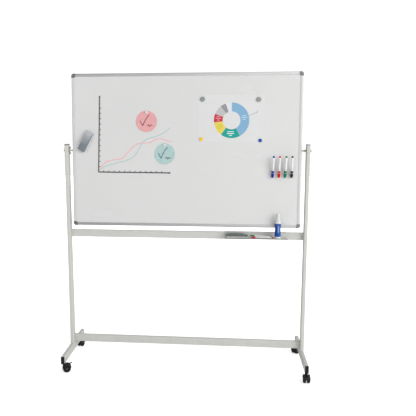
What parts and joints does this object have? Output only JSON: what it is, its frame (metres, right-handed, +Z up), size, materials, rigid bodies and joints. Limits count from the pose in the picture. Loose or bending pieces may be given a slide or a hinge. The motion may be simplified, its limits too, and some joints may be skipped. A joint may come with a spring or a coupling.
{
  "type": "rolling whiteboard",
  "caption": "Double-sided whiteboard in an aluminium frame that turns end over end between two uprights of a wheeled tube stand with a sliding pen tray.",
  "frame": {"origin": "on the floor, midway between the two uprights, and at the middle of the outline from front to rear: the uprights' middle plane is at y = +0.013", "axes": "+X to the right of a person facing the board, -Y towards that person, +Z up. At rest the board leans back 2.6 degrees about the X axis through its studs, so it is vertical at board_flip = +2.6 degrees"},
  "size_m": [1.6297, 0.516, 1.9554],
  "materials": {
    "stand_paint": "light grey powder coat, fine satin texture",
    "tray_paint": "light grey powder coat, satin",
    "anodised_aluminium": "natural anodised, satin, drawn lengthways",
    "enamel": "white glossy baked writing enamel on steel",
    "core_board": "brown board, hidden between the sheets",
    "corner_plastic": "dark grey moulded plastic",
    "cap_plastic": "grey moulded plastic",
    "black_plastic": "black moulded plastic, satin",
    "wheel_plastic": "black hard tread plastic",
    "zinc_steel": "zinc plated, slightly warm",
    "bush_plastic": "off-white plastic bush"
  },
  "bodies": {
    "stand": {"rail_bolt_upper_left": "zinc_steel", "rail_bolt_lower_left": "zinc_steel", "foot_bolt_left": "zinc_steel", "pivot_bush_left": "bush_plastic", "upright_left": "stand_paint", "foot_left": "stand_paint", "upright_cap_left": "cap_plastic", "foot_cap_front_left": "black_plastic", "foot_cap_rear_left": "black_plastic", "rail_bolt_upper_right": "zinc_steel", "rail_bolt_lower_right": "zinc_steel", "foot_bolt_right": "zinc_steel", "pivot_bush_right": "bush_plastic", "upright_right": "stand_paint", "foot_right": "stand_paint", "upright_cap_right": "cap_plastic", "foot_cap_front_right": "black_plastic", "foot_cap_rear_right": "black_plastic", "upper_rail": "stand_paint", "lower_rail": "stand_paint", "caster_stem_front_left": "zinc_steel", "caster_stem_front_right": "zinc_steel", "caster_stem_rear_left": "zinc_steel", "caster_stem_rear_right": "zinc_steel"},
    "board": {"panel_core": "core_board", "writing_surface_front": "enamel", "writing_surface_rear": "enamel", "frame_top": "anodised_aluminium", "frame_bottom": "anodised_aluminium", "frame_left": "anodised_aluminium", "frame_right": "anodised_aluminium", "corner_cap_top_left": "corner_plastic", "corner_cap_top_right": "corner_plastic", "corner_cap_bottom_left": "corner_plastic", "corner_cap_bottom_right": "corner_plastic", "pivot_stud_left": "zinc_steel", "cap_nut_left": "zinc_steel", "pivot_stud_right": "zinc_steel", "cap_nut_right": "zinc_steel"},
    "wing_nut_left": {"wing_nut_left": "zinc_steel"},
    "wing_nut_right": {"wing_nut_right": "zinc_steel"},
    "pen_tray": {"pen_tray": "tray_paint"},
    "caster_front_left": {"caster_hood_front_left": "black_plastic", "caster_axle_front_left": "zinc_steel"},
    "wheel_a_front_left": {"caster_wheel_a_front_left": "wheel_plastic"},
    "wheel_b_front_left": {"caster_wheel_b_front_left": "wheel_plastic"},
    "brake_lever_front_left": {"brake_lever_front_left": "black_plastic"},
    "caster_front_right": {"caster_hood_front_right": "black_plastic", "caster_axle_front_right": "zinc_steel"},
    "wheel_a_front_right": {"caster_wheel_a_front_right": "wheel_plastic"},
    "wheel_b_front_right": {"caster_wheel_b_front_right": "wheel_plastic"},
    "brake_lever_front_right": {"brake_lever_front_right": "black_plastic"},
    "caster_rear_left": {"caster_hood_rear_left": "black_plastic", "caster_axle_rear_left": "zinc_steel"},
    "wheel_a_rear_left": {"caster_wheel_a_rear_left": "wheel_plastic"},
    "wheel_b_rear_left": {"caster_wheel_b_rear_left": "wheel_plastic"},
    "caster_rear_right": {"caster_hood_rear_right": "black_plastic", "caster_axle_rear_right": "zinc_steel"},
    "wheel_a_rear_right": {"caster_wheel_a_rear_right": "wheel_plastic"},
    "wheel_b_rear_right": {"caster_wheel_b_rear_right": "wheel_plastic"}
  },
  "joints": [
    {"name": "board_flip", "type": "hinge", "parent": "stand", "child": "board", "pos_m": [0, 0.013, 1.455], "axis": [1, 0, 0], "continuous": true},
    {"name": "wing_nut_left_turn", "type": "hinge", "parent": "board", "child": "wing_nut_left", "pos_m": [-0.7708, 0.013, 1.455], "axis": [1, 0, 0], "range_deg": [-180, 180]},
    {"name": "wing_nut_right_turn", "type": "hinge", "parent": "board", "child": "wing_nut_right", "pos_m": [0.7708, 0.013, 1.455], "axis": [1, 0, 0], "range_deg": [-180, 180]},
    {"name": "tray_slide", "type": "slide", "parent": "stand", "child": "pen_tray", "axis": [1, 0, 0], "range_m": [-1.035, 0.106]},
    {"name": "caster_swivel_front_left", "type": "hinge", "parent": "stand", "child": "caster_front_left", "pos_m": [-0.78875, -0.205, 0.05], "axis": [0, 0, 1], "continuous": true},
    {"name": "wheel_a_front_left_spin", "type": "hinge", "parent": "caster_front_left", "child": "wheel_a_front_left", "pos_m": [-0.77588, -0.18708, 0.025], "axis": [-0.3256, 0.9455, 0], "continuous": true},
    {"name": "wheel_b_front_left_spin", "type": "hinge", "parent": "caster_front_left", "child": "wheel_b_front_left", "pos_m": [-0.76758, -0.2112, 0.025], "axis": [-0.3256, 0.9455, 0], "continuous": true},
    {"name": "brake_front_left", "type": "hinge", "parent": "caster_front_left", "child": "brake_lever_front_left", "pos_m": [-0.767, -0.19751, 0.0534], "axis": [-0.3256, 0.9455, 0], "range_deg": [0, 9]},
    {"name": "caster_swivel_front_right", "type": "hinge", "parent": "stand", "child": "caster_front_right", "pos_m": [0.78875, -0.205, 0.05], "axis": [0, 0, 1], "continuous": true},
    {"name": "wheel_a_front_right_spin", "type": "hinge", "parent": "caster_front_right", "child": "wheel_a_front_right", "pos_m": [0.8015, -0.223, 0.025], "axis": [1, 0, 0], "continuous": true},
    {"name": "wheel_b_front_right_spin", "type": "hinge", "parent": "caster_front_right", "child": "wheel_b_front_right", "pos_m": [0.776, -0.223, 0.025], "axis": [1, 0, 0], "continuous": true},
    {"name": "brake_front_right", "type": "hinge", "parent": "caster_front_right", "child": "brake_lever_front_right", "pos_m": [0.78875, -0.228, 0.0534], "axis": [1, 0, 0], "range_deg": [0, 9]},
    {"name": "caster_swivel_rear_left", "type": "hinge", "parent": "stand", "child": "caster_rear_left", "pos_m": [-0.78875, 0.231, 0.05], "axis": [0, 0, 1], "continuous": true},
    {"name": "wheel_a_rear_left_spin", "type": "hinge", "parent": "caster_rear_left", "child": "wheel_a_rear_left", "pos_m": [-0.77897, 0.21123, 0.025], "axis": [0.9877, -0.1564, 0], "continuous": true},
    {"name": "wheel_b_rear_left_spin", "type": "hinge", "parent": "caster_rear_left", "child": "wheel_b_rear_left", "pos_m": [-0.80416, 0.21522, 0.025], "axis": [0.9877, -0.1564, 0], "continuous": true},
    {"name": "caster_swivel_rear_right", "type": "hinge", "parent": "stand", "child": "caster_rear_right", "pos_m": [0.78875, 0.231, 0.05], "axis": [0, 0, 1], "continuous": true},
    {"name": "wheel_a_rear_right_spin", "type": "hinge", "parent": "caster_rear_right", "child": "wheel_a_rear_right", "pos_m": [0.7881, 0.20895, 0.025], "axis": [0.7986, -0.6018, 0], "continuous": true},
    {"name": "wheel_b_rear_right_spin", "type": "hinge", "parent": "caster_rear_right", "child": "wheel_b_rear_right", "pos_m": [0.76773, 0.2243, 0.025], "axis": [0.7986, -0.6018, 0], "continuous": true}
  ]
}
